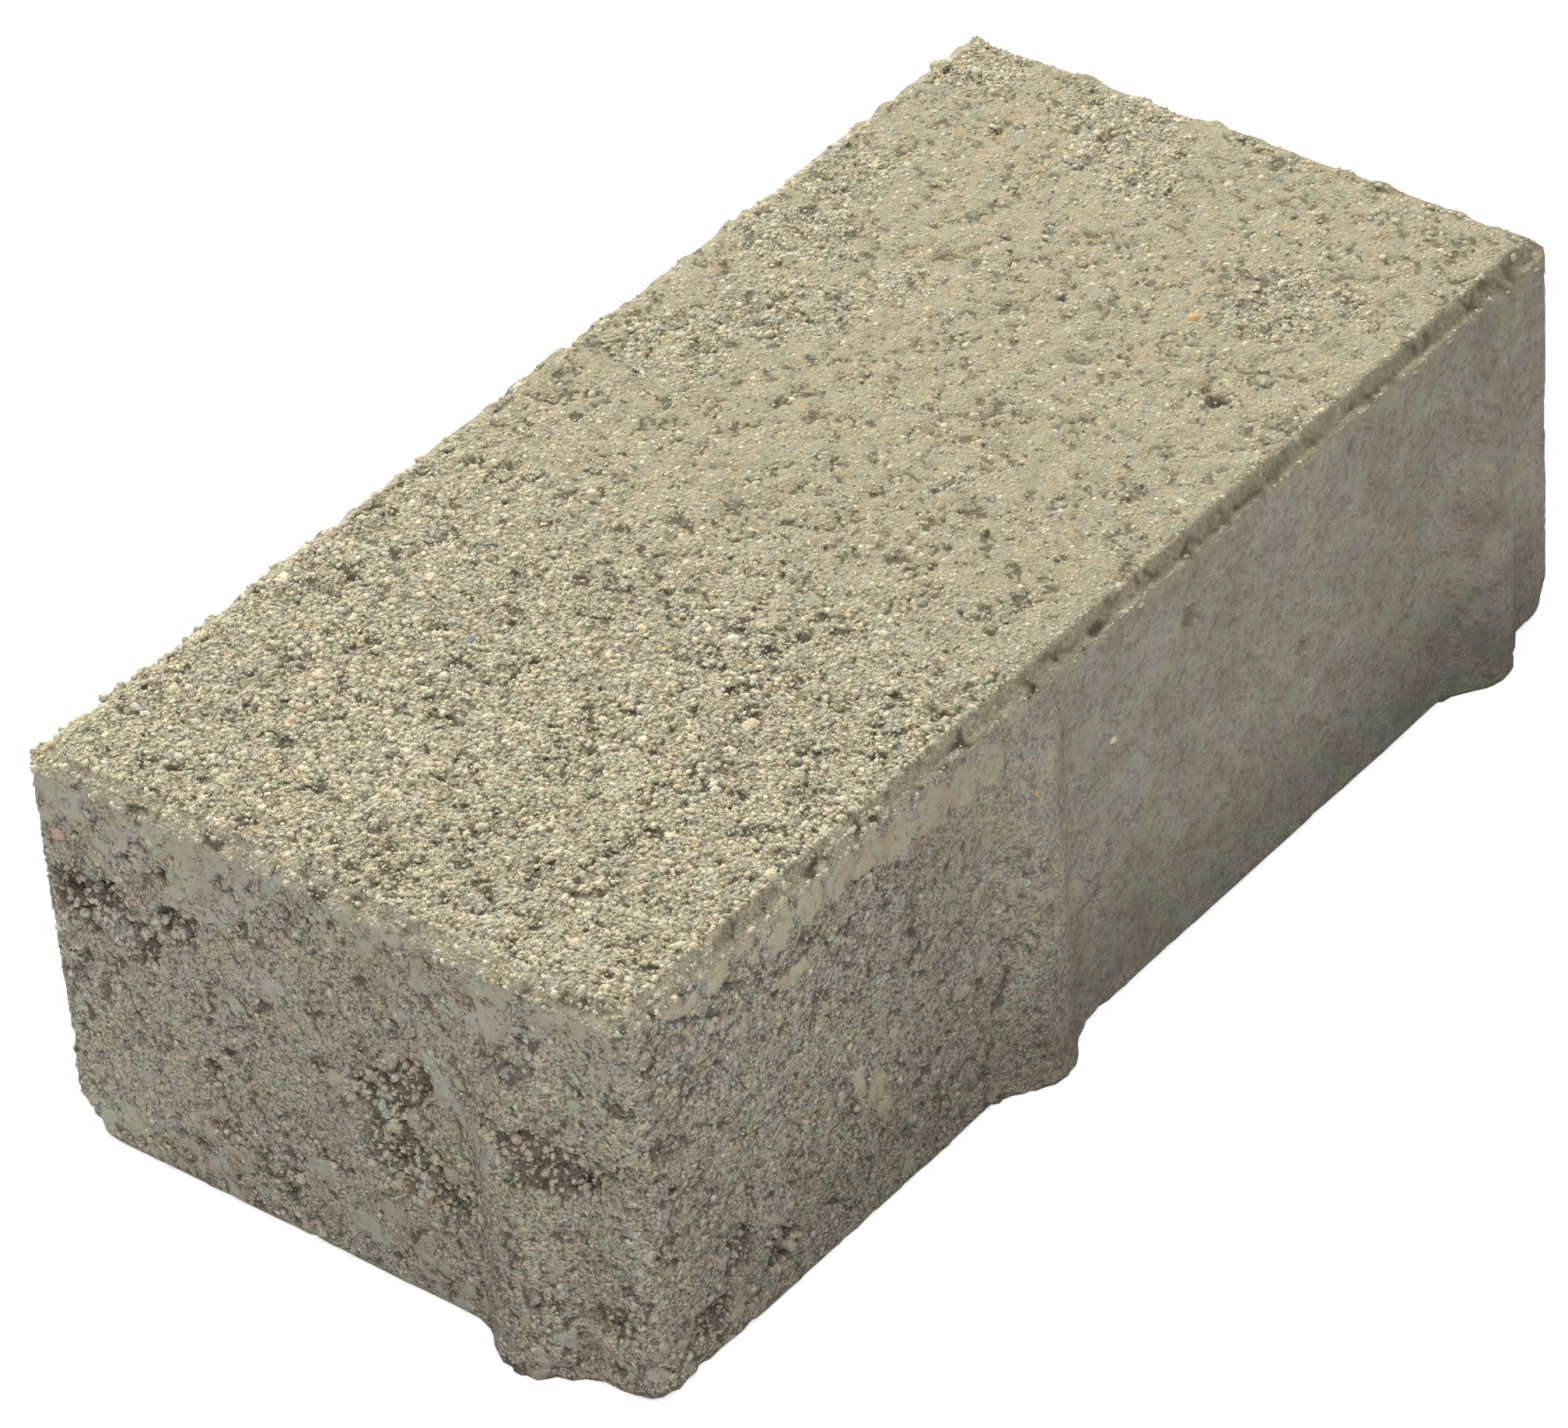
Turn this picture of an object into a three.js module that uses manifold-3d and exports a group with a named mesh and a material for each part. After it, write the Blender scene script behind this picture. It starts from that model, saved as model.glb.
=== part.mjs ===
// Rectangular concrete paving stone with a micro-bevelled wearing face and spacer nibs.
// The stone is one pressed casting. Millimetres, +Z up, origin in the middle of the bed face,
// +X along the stone. Every nib stands the same way round the stone, so that a stone turned
// half round fits its neighbours the same way.
import * as THREE from "three";
import { mergeVertices } from "three/addons/utils/BufferGeometryUtils.js";
import Module from "manifold-3d";

// Body
const BODY_LENGTH = 196; // along X, without nibs
const BODY_WIDTH = 96; // along Y, without nibs
const THICKNESS = 60; // bed face to wearing face
const CORNER_RADIUS = 3; // the four upright edges
const CORNER_STEPS = 6; // facets in a quarter circle
const BED_EDGE_RUN = 0.8; // worn edge round the bed face, in plan
const BED_EDGE_RISE = 1.2; // and up the side

// Rim of the wearing face: a flat ledge where the pressing shoe ended, then the bevel
const LEDGE_WIDTH = 1.2;
const BEVEL_RUN = 1.6;
const BEVEL_DROP = 2;

// Spacer nibs: ribs of rounded trapezoid section that run down to the bed
const NIB_REACH = 4; // out of the side, which is also the joint to the next stone
const NIB_FOOT = 16; // width where a nib meets the side
const NIB_CREST = 4; // width of its crest, before the edges are rounded
const NIB_CREST_RADIUS = 4; // round of the crest's edges
const NIB_FOOT_RADIUS = 4; // hollow where a flank runs out into the side
const NIB_STEPS = 4; // facets in each of those curves
const NIB_TOP = 51; // height where a nib has faded into the side
const NIB_FADE = 7; // height over which it fades
const NIB_SETBACK = 18.5; // middle of a nib to the upright edge that it stands beside
const NIB_ROOT = 2; // depth of a nib's section inside the body, where the two are joined

// A long side spans two bays of the laying pattern, each half a laid length, with one nib in each
const BAY = (BODY_LENGTH + NIB_REACH) / 2;
const ARRIS_HEIGHT = THICKNESS - BEVEL_DROP;

const { Manifold, Mesh } = await loadManifold();

async function loadManifold() {
  const wasm = await Module();
  wasm.setup();
  return wasm;
}

function toManifold(geometry) {
  const bare = geometry.clone();
  bare.deleteAttribute("normal");
  bare.deleteAttribute("uv");
  const merged = mergeVertices(bare);
  return new Manifold(
    new Mesh({
      numProp: 3,
      vertProperties: merged.attributes.position.array,
      triVerts: new Uint32Array(merged.index.array),
    }),
  );
}

function toGeometry(solid) {
  const mesh = solid.getMesh();
  const geometry = new THREE.BufferGeometry();
  geometry.setAttribute("position", new THREE.BufferAttribute(mesh.vertProperties, 3));
  geometry.setIndex(new THREE.BufferAttribute(mesh.triVerts, 1));
  return geometry;
}

// Points of an arc about a centre, from one angle to another.
function arc(centreX, centreY, radius, from, to, steps) {
  return Array.from({ length: steps + 1 }, (_, step) => {
    const turn = from + ((to - from) * step) / steps;
    return new THREE.Vector2(
      centreX + radius * Math.cos(turn),
      centreY + radius * Math.sin(turn),
    );
  });
}

// Plan outline of the body, anticlockwise, drawn in from the sides by inset.
function bodyOutline(inset) {
  const x = BODY_LENGTH / 2 - inset - CORNER_RADIUS;
  const y = BODY_WIDTH / 2 - inset - CORNER_RADIUS;
  const corners = [[x, -y], [x, y], [-x, y], [-x, -y]];
  const quarterTurn = Math.PI / 2;
  return corners.flatMap(([cornerX, cornerY], quarter) => {
    const start = quarterTurn * (quarter - 1);
    return arc(cornerX, cornerY, CORNER_RADIUS, start, start + quarterTurn, CORNER_STEPS);
  });
}

// A closed skin over outlines of equal point count, stacked from the lowest to the highest.
function loft(levels) {
  const count = levels[0].outline.length;
  const positions = levels.flatMap(({ outline, height }) =>
    outline.flatMap((point) => [point.x, point.y, height]),
  );
  const faces = [];
  for (let level = 1; level < levels.length; level += 1) {
    for (let i = 0; i < count; i += 1) {
      const next = (i + 1) % count;
      const low = (level - 1) * count;
      const high = level * count;
      faces.push(low + i, low + next, high + next, low + i, high + next, high + i);
    }
  }
  const lid = THREE.ShapeUtils.triangulateShape(levels[0].outline, []);
  const top = (levels.length - 1) * count;
  for (const [a, b, c] of lid) {
    faces.push(a, c, b, top + a, top + b, top + c);
  }
  const geometry = new THREE.BufferGeometry();
  geometry.setAttribute("position", new THREE.Float32BufferAttribute(positions, 3));
  geometry.setIndex(faces);
  return geometry;
}

function makeBody() {
  const level = (inset, height) => ({ outline: bodyOutline(inset), height });
  return toManifold(
    loft([
      level(BED_EDGE_RUN, 0),
      level(0, BED_EDGE_RISE),
      level(0, ARRIS_HEIGHT),
      level(LEDGE_WIDTH, ARRIS_HEIGHT),
      level(LEDGE_WIDTH + BEVEL_RUN, THICKNESS),
    ]),
  );
}

// Section of a nib that stands out along -Y from a side on y = 0: a trapezoid whose crest is
// rounded off and whose flanks run out into the side in hollow curves.
function nibSection() {
  const flankAngle = Math.atan2(NIB_REACH, (NIB_FOOT - NIB_CREST) / 2);
  const trim = (radius) => radius * Math.tan(flankAngle / 2);
  const down = -Math.PI / 2;
  const crestX = NIB_CREST / 2 - trim(NIB_CREST_RADIUS);
  const crestY = NIB_CREST_RADIUS - NIB_REACH;
  const crestEdge = arc(crestX, crestY, NIB_CREST_RADIUS, down, down + flankAngle, NIB_STEPS);
  const footX = NIB_FOOT / 2 + trim(NIB_FOOT_RADIUS);
  const footHollow = arc(
    footX, -NIB_FOOT_RADIUS, NIB_FOOT_RADIUS, flankAngle - down, -down, NIB_STEPS,
  );
  const right = [...crestEdge, ...footHollow, new THREE.Vector2(footX, NIB_ROOT)];
  const left = right.map((point) => new THREE.Vector2(-point.x, point.y)).reverse();
  return new THREE.Shape([...left, ...right]);
}

// One nib on the side y = 0. Its head is cut by a plane that slopes from the crest back to the side.
function makeNib() {
  const rib = toManifold(
    new THREE.ExtrudeGeometry(nibSection(), { depth: NIB_TOP, bevelEnabled: false }),
  );
  const inwardAndDown = new THREE.Vector3(0, NIB_FADE, -NIB_REACH).normalize();
  return rib.trimByPlane(inwardAndDown.toArray(), inwardAndDown.z * NIB_TOP);
}

// The nib moved to a side, counted in quarter turns from the one that faces -Y. The distance is
// taken back along the side from the upright edge at its anticlockwise end.
function placeNib(nib, quarter, back) {
  const alongX = quarter % 2 === 0;
  const sideLength = alongX ? BODY_LENGTH : BODY_WIDTH;
  const sideOffset = (alongX ? BODY_WIDTH : BODY_LENGTH) / 2;
  return nib.translate([sideLength / 2 - back, -sideOffset, 0]).rotate([0, 0, 90 * quarter]);
}

function makeStone() {
  const nib = makeNib();
  const longSides = [0, 2];
  const shortSides = [1, 3];
  const nibs = [
    ...longSides.flatMap((quarter) => [
      placeNib(nib, quarter, NIB_SETBACK),
      placeNib(nib, quarter, NIB_SETBACK + BAY),
    ]),
    ...shortSides.map((quarter) => placeNib(nib, quarter, NIB_SETBACK)),
  ];
  return Manifold.union([makeBody(), ...nibs]);
}

const concrete = new THREE.MeshStandardMaterial({
  color: 0x9b947c,
  roughness: 0.95,
  metalness: 0,
});

const stone = new THREE.Mesh(toGeometry(makeStone()), concrete);
stone.name = "paving_stone";

const product = new THREE.Group();
product.add(stone);
export default product;
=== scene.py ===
import itertools
import math

import bmesh
import bpy
import numpy as np
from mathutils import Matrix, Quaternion, Vector


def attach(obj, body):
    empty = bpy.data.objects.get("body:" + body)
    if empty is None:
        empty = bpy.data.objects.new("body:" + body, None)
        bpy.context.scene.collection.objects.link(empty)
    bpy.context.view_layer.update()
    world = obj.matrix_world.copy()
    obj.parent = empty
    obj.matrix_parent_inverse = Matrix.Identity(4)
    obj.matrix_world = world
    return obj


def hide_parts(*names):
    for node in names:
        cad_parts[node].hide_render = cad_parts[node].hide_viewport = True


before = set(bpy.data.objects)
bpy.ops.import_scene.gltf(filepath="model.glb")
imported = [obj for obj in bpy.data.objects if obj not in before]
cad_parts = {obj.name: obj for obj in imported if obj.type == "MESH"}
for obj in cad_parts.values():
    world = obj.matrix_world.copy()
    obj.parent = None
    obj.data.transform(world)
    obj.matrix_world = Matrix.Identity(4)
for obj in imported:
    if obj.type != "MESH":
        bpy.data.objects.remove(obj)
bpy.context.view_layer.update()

MM = 0.001
NODE = "paving_stone"
MOST_TRIANGLES = 190000  # of the stone's own surface
VOXEL = 0.4  # of the remesh
SPARE_FACTOR = 4e-4  # weight of spare_detail() in the thinning
LOWEST = 0.1  # the worn bed stays this far above the floor
SEED_SHIFT = 17.3  # moves a noise field away from that of the next seed

# Body of the stone without its spacer nibs, and the rim of its wearing face
HALF_LENGTH = 98.0
HALF_WIDTH = 48.0
THICKNESS = 60.0
ARRIS = 58.0  # height of the rim's ledge
LEDGE = 1.2  # width of the ledge
BEVEL_END = 2.8  # in from the side, where the bevel meets the wearing face
SHOULDER = 4.2  # in from the side, where a worn rim starts to fall
NIB_TOP = 51.0  # height where a nib has faded into the side

MOST_CALM = 0.72  # what calmness() comes to at most


# ---- random fields
def lattice(cell, seed):
    """A repeatable 32-bit number for each whole-number point of a lattice."""
    x, y, z = (cell[:, axis].astype(np.int64).astype(np.uint32) for axis in range(3))
    mixed = x * np.uint32(73856093) ^ y * np.uint32(19349663) ^ z * np.uint32(83492791)
    mixed ^= np.uint32(seed * 2654435761 & 0xFFFFFFFF)
    for shift, factor in ((16, 0x7FEB352D), (15, 0x846CA68B)):
        mixed ^= mixed >> np.uint32(shift)
        mixed *= np.uint32(factor)
    return mixed ^ (mixed >> np.uint32(16))


def smooth(value, low, high):
    """0 below low, 1 above high, and a smooth step between them."""
    part = np.clip((value - low) / (high - low), 0, 1)
    return part * part * (3 - 2 * part)


def noise(places, size, seed):
    """A smooth random field from about -1 to 1, with bumps about size across."""
    turned = places @ TURN / size + seed * SEED_SHIFT
    low = np.floor(turned)
    part = turned - low
    part = part * part * (3 - 2 * part)
    total = np.zeros(len(places))
    for corner in itertools.product((0, 1), repeat=3):
        weight = np.prod(np.where(corner, part, 1 - part), axis=1)
        total += weight * (lattice(low + corner, seed) / 2**32)
    return 2 * total - 1


def clouds(places, size, seed, octaves=3):
    """Noise with finer noise added to it."""
    return sum(
        noise(places, size / 2**octave, seed + octave) / 2**octave for octave in range(octaves)
    )


def cells(places, size, seed):
    """Distance to the nearest of scattered points about size apart, as a share of size, and that
    point's own number from 0 to 1."""
    scaled = places / size
    home = np.floor(scaled)
    nearest = np.full(len(places), 9.0)
    own = np.zeros(len(places), np.uint32)
    for step in itertools.product((-1, 0, 1), repeat=3):
        cell = home + step
        mixed = lattice(cell, seed)
        point = np.stack([mixed >> np.uint32(bits) & np.uint32(1023) for bits in (0, 10, 20)], 1)
        distance = np.linalg.norm(cell + point / 1024 - scaled, axis=1)
        nearer = distance < nearest
        nearest[nearer] = distance[nearer]
        own[nearer] = mixed[nearer]
    return nearest, lattice(np.stack([own, own, own], 1), seed + 1) / 2**32


TURN = np.array(Quaternion((0.82, 0.31, -0.37, 0.31)).normalized().to_matrix())


# ---- the stone
def fine_mesh():
    """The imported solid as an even, dense mesh."""
    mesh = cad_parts[NODE].data.copy()
    welded = bmesh.new()
    welded.from_mesh(mesh)
    bmesh.ops.remove_doubles(welded, verts=welded.verts, dist=1e-6)
    welded.to_mesh(mesh)
    welded.free()
    mesh.materials.clear()
    holder = bpy.data.objects.new("fine", mesh)
    bpy.context.scene.collection.objects.link(holder)
    remesh = holder.modifiers.new("remesh", "REMESH")
    remesh.mode = "VOXEL"
    remesh.voxel_size = VOXEL * MM
    return applied(holder)


def applied(holder):
    """The mesh that an object's modifiers make. The object is removed."""
    graph = bpy.context.evaluated_depsgraph_get()
    made = bpy.data.meshes.new_from_object(holder.evaluated_get(graph))
    old = holder.data
    bpy.data.objects.remove(holder)
    bpy.data.meshes.remove(old)
    return made


def thinned(mesh, spare):
    """The mesh with its triangles collapsed to the limit, sooner where spare is near 1."""
    holder = bpy.data.objects.new("thin", mesh)
    bpy.context.scene.collection.objects.link(holder)
    group = holder.vertex_groups.new(name="spare")
    tenths = np.round(spare * 10).astype(int)
    for tenth in np.unique(tenths):
        group.add(np.nonzero(tenths == tenth)[0].tolist(), tenth / 10, "REPLACE")
    thin = holder.modifiers.new("thin", "DECIMATE")
    thin.vertex_group = "spare"
    thin.vertex_group_factor = SPARE_FACTOR
    mesh.calc_loop_triangles()
    thin.ratio = MOST_TRIANGLES / len(mesh.loop_triangles)
    return applied(holder)


def read(mesh, kind):
    """The vertices' places in millimetres, or their normals."""
    found = np.empty(len(mesh.vertices) * 3, np.float32)
    if kind == "place":
        mesh.vertices.foreach_get("co", found)
        return found.reshape(-1, 3).astype(float) / MM
    mesh.vertices.foreach_get("normal", found)
    return found.reshape(-1, 3).astype(float)


# Pits of the wearing face: x, y, z, radius, depth
TOP_PITS = [
    (-59, -11.2, 60, 1.3, 1.8),
    (-41.7, 15.2, 60, 1.6, 0.9),
    (-89.5, 29.7, 60, 1.2, 0.9),
    (-29.7, -42, 60, 1.5, 1),
    (-12.5, -37.5, 60, 1.3, 0.9),
    (-26, -18.8, 60, 1.4, 0.9),
    (43, -32.5, 60, 1.8, 1.1),
    (44.5, -29.5, 60, 1.3, 0.8),
    (51, -1.7, 60, 0.9, 0.9),
    (8.5, -3, 60, 0.9, 0.8),
    (78.8, 29.7, 60, 1.3, 0.8),
    (-34.8, 24.2, 60, 0.9, 0.9),
    (-18.2, 35.5, 60, 1.3, 0.8),
    (-48, 36.5, 60, 1.4, 0.8),
    (-62, -43, 60, 1.4, 0.8),
]
# Pits of the two sides in view and of the near rim: x, y, z, radius, depth
SIDE_PITS = [
    (-98, 43, 40.5, 2.2, 2.2),
    (-98, 37.3, 42, 1.8, 2),
    (-98, 34.5, 40, 1.1, 1.2),
    (-98, 30, 37.5, 1.2, 1.1),
    (-98, 27, 43.7, 1, 1),
    (-98, 23, 42, 0.9, 0.8),
    (-98, 41, 30.5, 1, 1.1),
    (-98, 22, 22, 1, 0.9),
    (-98, 36, 18.5, 0.8, 0.7),
    (-98, 26, 13, 0.9, 0.8),
    (-98, 22.5, 11.5, 0.9, 0.8),
    (-98, 9.2, 10.2, 0.9, 0.8),
    (-98, 7.9, 8.6, 0.9, 0.9),
    (-98, 13.5, 47.5, 1.3, 0.7),
    (-98, -9.5, 46, 1, 0.7),
    (-98, -13.3, 47.8, 0.9, 0.7),
    (-98, 13.5, 28.5, 0.8, 0.7),
    (-98, -8, 20, 1.6, 1.6),
    (-98, -9.8, 16.2, 1.1, 1),
    (-98, -13.4, 23.5, 1, 1.2),
    (-98, -28.6, 34.4, 1.2, 1.6),
    (-98, -33, 28.6, 1.3, 1.3),
    (-98, -39, 30.4, 1.4, 1.4),
    (-81.5, -48, 13.2, 1.5, 1.3),
    (-78.5, -48, 14, 1.2, 1),
    (-22.5, -48, 34.5, 1.2, 1.2),
    (-20.8, -48, 34, 1, 0.9),
    (-18, -48, 39, 1.2, 1.1),
    (-23, -48, 26, 1.2, 0.8),
    (-26.8, -48, 11.5, 0.9, 0.9),
    (-39, -48, 42.2, 1, 0.7),
    (-37.2, -48, 42, 0.8, 0.6),
    (-42, -48, 30, 0.8, 0.7),
    (-73, -48, 55.7, 0.9, 0.8),
    (15, -48, 49, 2.4, 0.7),
    (51, -48, 54, 1.5, 0.7),
    (39, -48, 29, 1.4, 0.6),
    (62, -48, 19, 1.2, 0.6),
    (31, -47, 58.5, 1.6, 1.4),
    (-18, -47.6, 57.8, 1.2, 1.1),
    (-87.2, -47.8, 57.8, 1.3, 1.2),
]
# Patches of the far wearing face where the grain is as rough as at the near end: x, y, z, radius
ROUGH_PLACES = [
    (16, 33.5, 60, 9),
    (29, 31, 60, 10),
    (31.5, 24, 60, 7),
    (44, 37, 60, 9),
    (59, 40, 60, 9),
    (90, 40, 60, 8),
    (42, 18, 60, 6),
    (87.5, 14.5, 60, 10),
    (80, 6, 60, 6),
    (66, -27, 60, 9),
]
# Places of the sides where mortar is missing between lumps: x, y, z, radius. Those in view stand as
# in the photo, and the last nine are made up for the hidden sides.
OPEN_PLACES = [
    (-98, -9.5, 21.5, 6.5),
    (-98, -7, 30, 5),
    (-98, -12, 34.5, 4),
    (-98, -17, 19, 4.5),
    (-99, -27.5, 37, 4),
    (-101, -32.5, 34, 5),
    (-101, -38.5, 31.5, 4.5),
    (-100, -42, 10, 3.5),
    (-98, 42, 40.5, 4.5),
    (-98, 36, 41, 4),
    (-98, 30.5, 38, 3.5),
    (-98, 24.5, 42.5, 3.5),
    (-80.5, -48, 12.5, 4),
    (-73, -48, 8, 3),
    (-86, -48, 6, 3),
    (-22, -48, 34.5, 3.5),
    (-18, -48, 39, 3),
    (62, 48, 19, 3.4),
    (58, 48, 22.5, 2.6),
    (66.5, 48, 16, 2.2),
    (-30, 48, 12, 6),
    (-24, 48, 8, 4.5),
    (98, 12, 31, 3),
    (98, 15.5, 27.5, 2.2),
    (98, -30, 7, 3.2),
    (98, -25.5, 5, 2.6),
]
# Places of the two sides in view where the cement film is closed: x, y, z, radius
FILM_PLACES = [
    (-98, 4.5, 12.5, 3),
    (-98, -2.5, 8, 2.4),
    (-98, 9, 40, 2.4),
    (-98, 20, 52, 3.5),
    (-98, -27, 51, 3.2),
    (-98, 16, 34, 2),
    (-53, -48, 19.5, 2.4),
    (-52, -48, 15.5, 2.4),
    (-56, -48, 24, 2.6),
    (-66, -48, 46.5, 2.4),
    (-69, -48, 47, 2),
    (-31.5, -48, 34.5, 2.4),
    (-35.5, -48, 22.5, 1.8),
    (-62.5, -48, 55, 4),
    (-69, -48, 54, 3),
    (-57, -48, 55.5, 3.8),
    (-51.5, -48, 55.2, 3.9),
    (-45.5, -48, 54.2, 4.6),
    (-38.5, -48, 53.6, 4.8),
    (-32.5, -48, 53.6, 4.6),
    (-27, -48, 53, 4.2),
    (-8, -48, 44, 4),
    (-12, -48, 22, 3.5),
]
# Corners of the bed: x, y, reach and depth of their wear. A negative depth builds a corner up.
BED_CORNERS = [
    (-98, 48, 7, 2.2),
    (-98, -48, 12, -0.6),
    (-101, -31, 15, -0.8),
    (98, -48, 6, 1.2),
    (98, 48, 7, 1.8),
]


def around(places, points, radius_scale=1.0):
    """How near each place is to the nearest of points (x, y, z, radius): 1 at its middle, and 0 at
    its radius and beyond."""
    nearness = np.zeros(len(places))
    for x, y, z, radius in points:
        distance = np.linalg.norm(places - (x, y, z), axis=1) / (radius * radius_scale)
        nearness = np.maximum(nearness, 1 - distance)
    return nearness


def relief(places, normals):
    """How far each vertex moves out, in millimetres, and the fields that the material reads."""
    x, y, z = places.T
    top = smooth(normals[:, 2], 0.35, 0.75) * smooth(z, 56.5, 57.6)
    bed = smooth(-normals[:, 2], 0.35, 0.75) * smooth(-z, -2.0, -0.8)
    side = np.clip(1 - top - bed, 0, 1)

    warp = np.stack([noise(places, 1.3, seed) for seed in (3, 4, 5)], 1) * 0.35
    coarse, coarse_own = cells(places + warp * 2, 2.7, 11)
    fine, _ = cells(places + warp, 1.35, 12)
    lump = (1 - smooth(coarse, 0.15, 0.62)) * smooth(coarse_own, 0.45, 0.8)
    grain = 0.5 - smooth(fine, 0.1, 0.75)
    swell = clouds(places, 26, 21, 3)
    patchy = clouds(places, 9, 31, 3)
    rough = clouds(places, 2.6, 35, 3)

    # Wearing face: the sand grains on it are a piece of their own
    calm = calmness(places)
    hollow = smooth(-clouds(places + 2 * warp, 3.2, 71, 3) - 0.25 * patchy, 0.85, 1.3)
    nook = smooth(-clouds(places + warp, 1.4, 75, 2) - 0.15 * patchy, 0.6, 1.05)
    hollow = np.maximum(hollow, 0.7 * nook) * (1 - 0.45 * calm)
    top_pits = pit_depth(places + warp, TOP_PITS)
    flat_top = smooth(z, 58.6, 59.8)
    lumpy_top = (0.34 * lump + 0.32 * rough) * (1 - 0.3 * calm) - 0.35 * crevices(places)
    top_move = 0.10 * swell + 0.12 * patchy + (0.25 + 0.75 * flat_top) * lumpy_top - 0.2
    top_move -= 0.65 * hollow * flat_top + top_pits

    # Sides: a cement film against the mould, which is open and lumpy where mortar is missing
    near = around(places + 3 * warp, OPEN_PLACES, 1.3)
    missing = smooth(near, 0.0, 0.45) * smooth(near + 0.35 * rough, -0.05, 0.4) * side
    lively = 0.2 + 0.8 * (1 - smooth(x + 12 * swell, -57, 13))
    open_share = 0.66 + 0.3 * clouds(places, 13, 41, 3) - 0.3 * smooth(z, 53, 58)
    # The near end's film is more closed in two bands, under the rim and above the bed
    bands = np.maximum(smooth(z, 45, 52), 0.8 * (1 - smooth(z, 5, 14)))
    open_share -= 0.34 * smooth(-x, 94, 97) * bands
    patch = clouds(places + 2 * warp, 1.9, 44, 3) + open_share * (0.35 + 0.85 * lively) - 0.1
    film = smooth(around(places + 3 * warp, FILM_PLACES), 0.1, 0.45)
    gritty = smooth(patch, -0.35, 0.35) * (1 - film) * side
    gritty = np.maximum(gritty, missing)
    seam = 1 - smooth(np.abs(clouds(places + 2 * warp, 3.4, 58, 3)), 0.03, 0.2)
    seam *= smooth(clouds(places, 6, 59, 2), -0.45, 0.25) * gritty * (0.3 + 0.7 * lively)
    hole = holes(places + warp) * gritty * smooth(lively, 0.25, 0.9)
    side_move = 0.09 * swell + (0.10 * rough + 0.18 * lump) * lively * (1 - film)
    side_move -= 0.5 * seam + 0.45 * hole + 0.2 * gritty * lively * smooth(fine, 0.2, 0.7)
    side_move -= missing * (0.9 + 0.9 * smooth(coarse, 0.3, 0.7))
    side_pits = pit_depth(places + warp, SIDE_PITS)
    side_move -= side_pits

    # Bed: it hangs a little above the floor but for its border
    bed_move = -0.5 + 0.14 * swell + 0.1 * grain + 0.2 * lump - 0.4 * hollow
    bed_move += 0.3 * (1 - smooth(rim_inset(places), 1.5, 6))

    move = top * top_move + side * side_move + bed * bed_move
    # Painted shade for the material: darker in pits, hollows, seams and where mortar is missing
    top_painted_shade = top_pits + 0.45 * hollow
    side_painted_shade = 0.8 * side_pits + 0.85 * missing + 0.8 * seam
    fields = {
        "wearing": top,
        "rim": top * (1 - flat_top),
        "gritty": np.maximum(gritty, bed),
        "lively": lively,
        "calm": calm,
        "painted_cavity_shade": np.clip(top_painted_shade * top + side_painted_shade * side, 0, 1),
        "hollow": hollow * top,
        "missing": missing,
        "deep": side_pits,
        "seam": seam * side,
        "crevice": np.maximum(crevices(places) * top, hole * side),
        "groove": groove(places) * top,
    }
    return move, fields


def calmness(places):
    """How soft the grain of the wearing face is: little at the near end, and much far from it."""
    rougher = around(places, ROUGH_PLACES, 1.25) + 0.3 * clouds(places, 5, 51, 2)
    rougher = smooth(rougher, 0.05, 0.5)
    return MOST_CALM * smooth(places[:, 0], -55, 15) * (1 - 0.8 * rougher)


def crevices(places):
    """1 in short thin valleys between clumps of grains, and 0 elsewhere."""
    valley = 1 - smooth(np.abs(clouds(places, 1.5, 55, 2)), 0.04, 0.24)
    return valley * smooth(clouds(places, 2.6, 57, 2), -0.35, 0.25)


def holes(places):
    """1 in the small holes of the sides' cement film, and 0 elsewhere."""
    hole = smooth(-clouds(places, 1.25, 65, 2), 0.3, 0.75)
    return hole * smooth(clouds(places, 7.0, 67, 2), -0.9, 0.1)


def groove(places):
    """1 along the foot of the rim's bevel, and 0 elsewhere."""
    inset = rim_inset(places)
    return smooth(inset, 0.7, 1.3) * (1 - smooth(inset, 2.2, 3.0))


def pit_depth(places, pits):
    """How deep the nearest of pits (x, y, z, radius, depth) is at each place."""
    deepest = np.zeros(len(places))
    for x, y, z, radius, depth in pits:
        distance = np.linalg.norm(places - (x, y, z), axis=1) / radius
        deepest = np.maximum(deepest, depth * (1 - smooth(distance, 0.45, 1.1)))
    return deepest


def wear(places):
    """How far each vertex moves in where edges and corners are rubbed and chipped."""
    x, y, z = np.abs(places[:, 0]), np.abs(places[:, 1]), places[:, 2]
    inset = np.minimum(HALF_LENGTH - x, HALF_WIDTH - y)
    chips = clouds(places, 5, 61, 3)
    upright = np.hypot(np.maximum(HALF_LENGTH - x, 0), np.maximum(HALF_WIDTH - y, 0))
    low_edge = 1 - smooth(np.hypot(np.maximum(inset, 0), z), 0.5, 3.2)
    loss = low_edge * (smooth(chips, 0.35, 1.3) * 1.5 - 0.35 * smooth(upright, 2, 6))
    loss += (1 - smooth(upright, 0.5, 3.0)) * (0.25 + smooth(chips, 0.1, 1.2) * 1.1)
    arris = 1 - smooth(np.hypot(np.maximum(inset, 0), z - ARRIS), 0.2, 1.8)
    loss += arris * smooth(chips, 0.1, 1.1) * 0.4
    # The nibs fade towards their heads
    loss += 0.3 * np.maximum(-inset, 0) * smooth(z, 30, NIB_TOP)
    for corner_x, corner_y, reach, depth in BED_CORNERS:
        away = np.linalg.norm(places - (corner_x, corner_y, 0), axis=1)
        loss += (1 - smooth(away, 0.5, reach)) * depth
    return loss


def rim_inset(places):
    """How far in from the nearest side of the body each place is. On a nib it is below 0."""
    return np.minimum(HALF_LENGTH - np.abs(places[:, 0]), HALF_WIDTH - np.abs(places[:, 1]))


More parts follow.
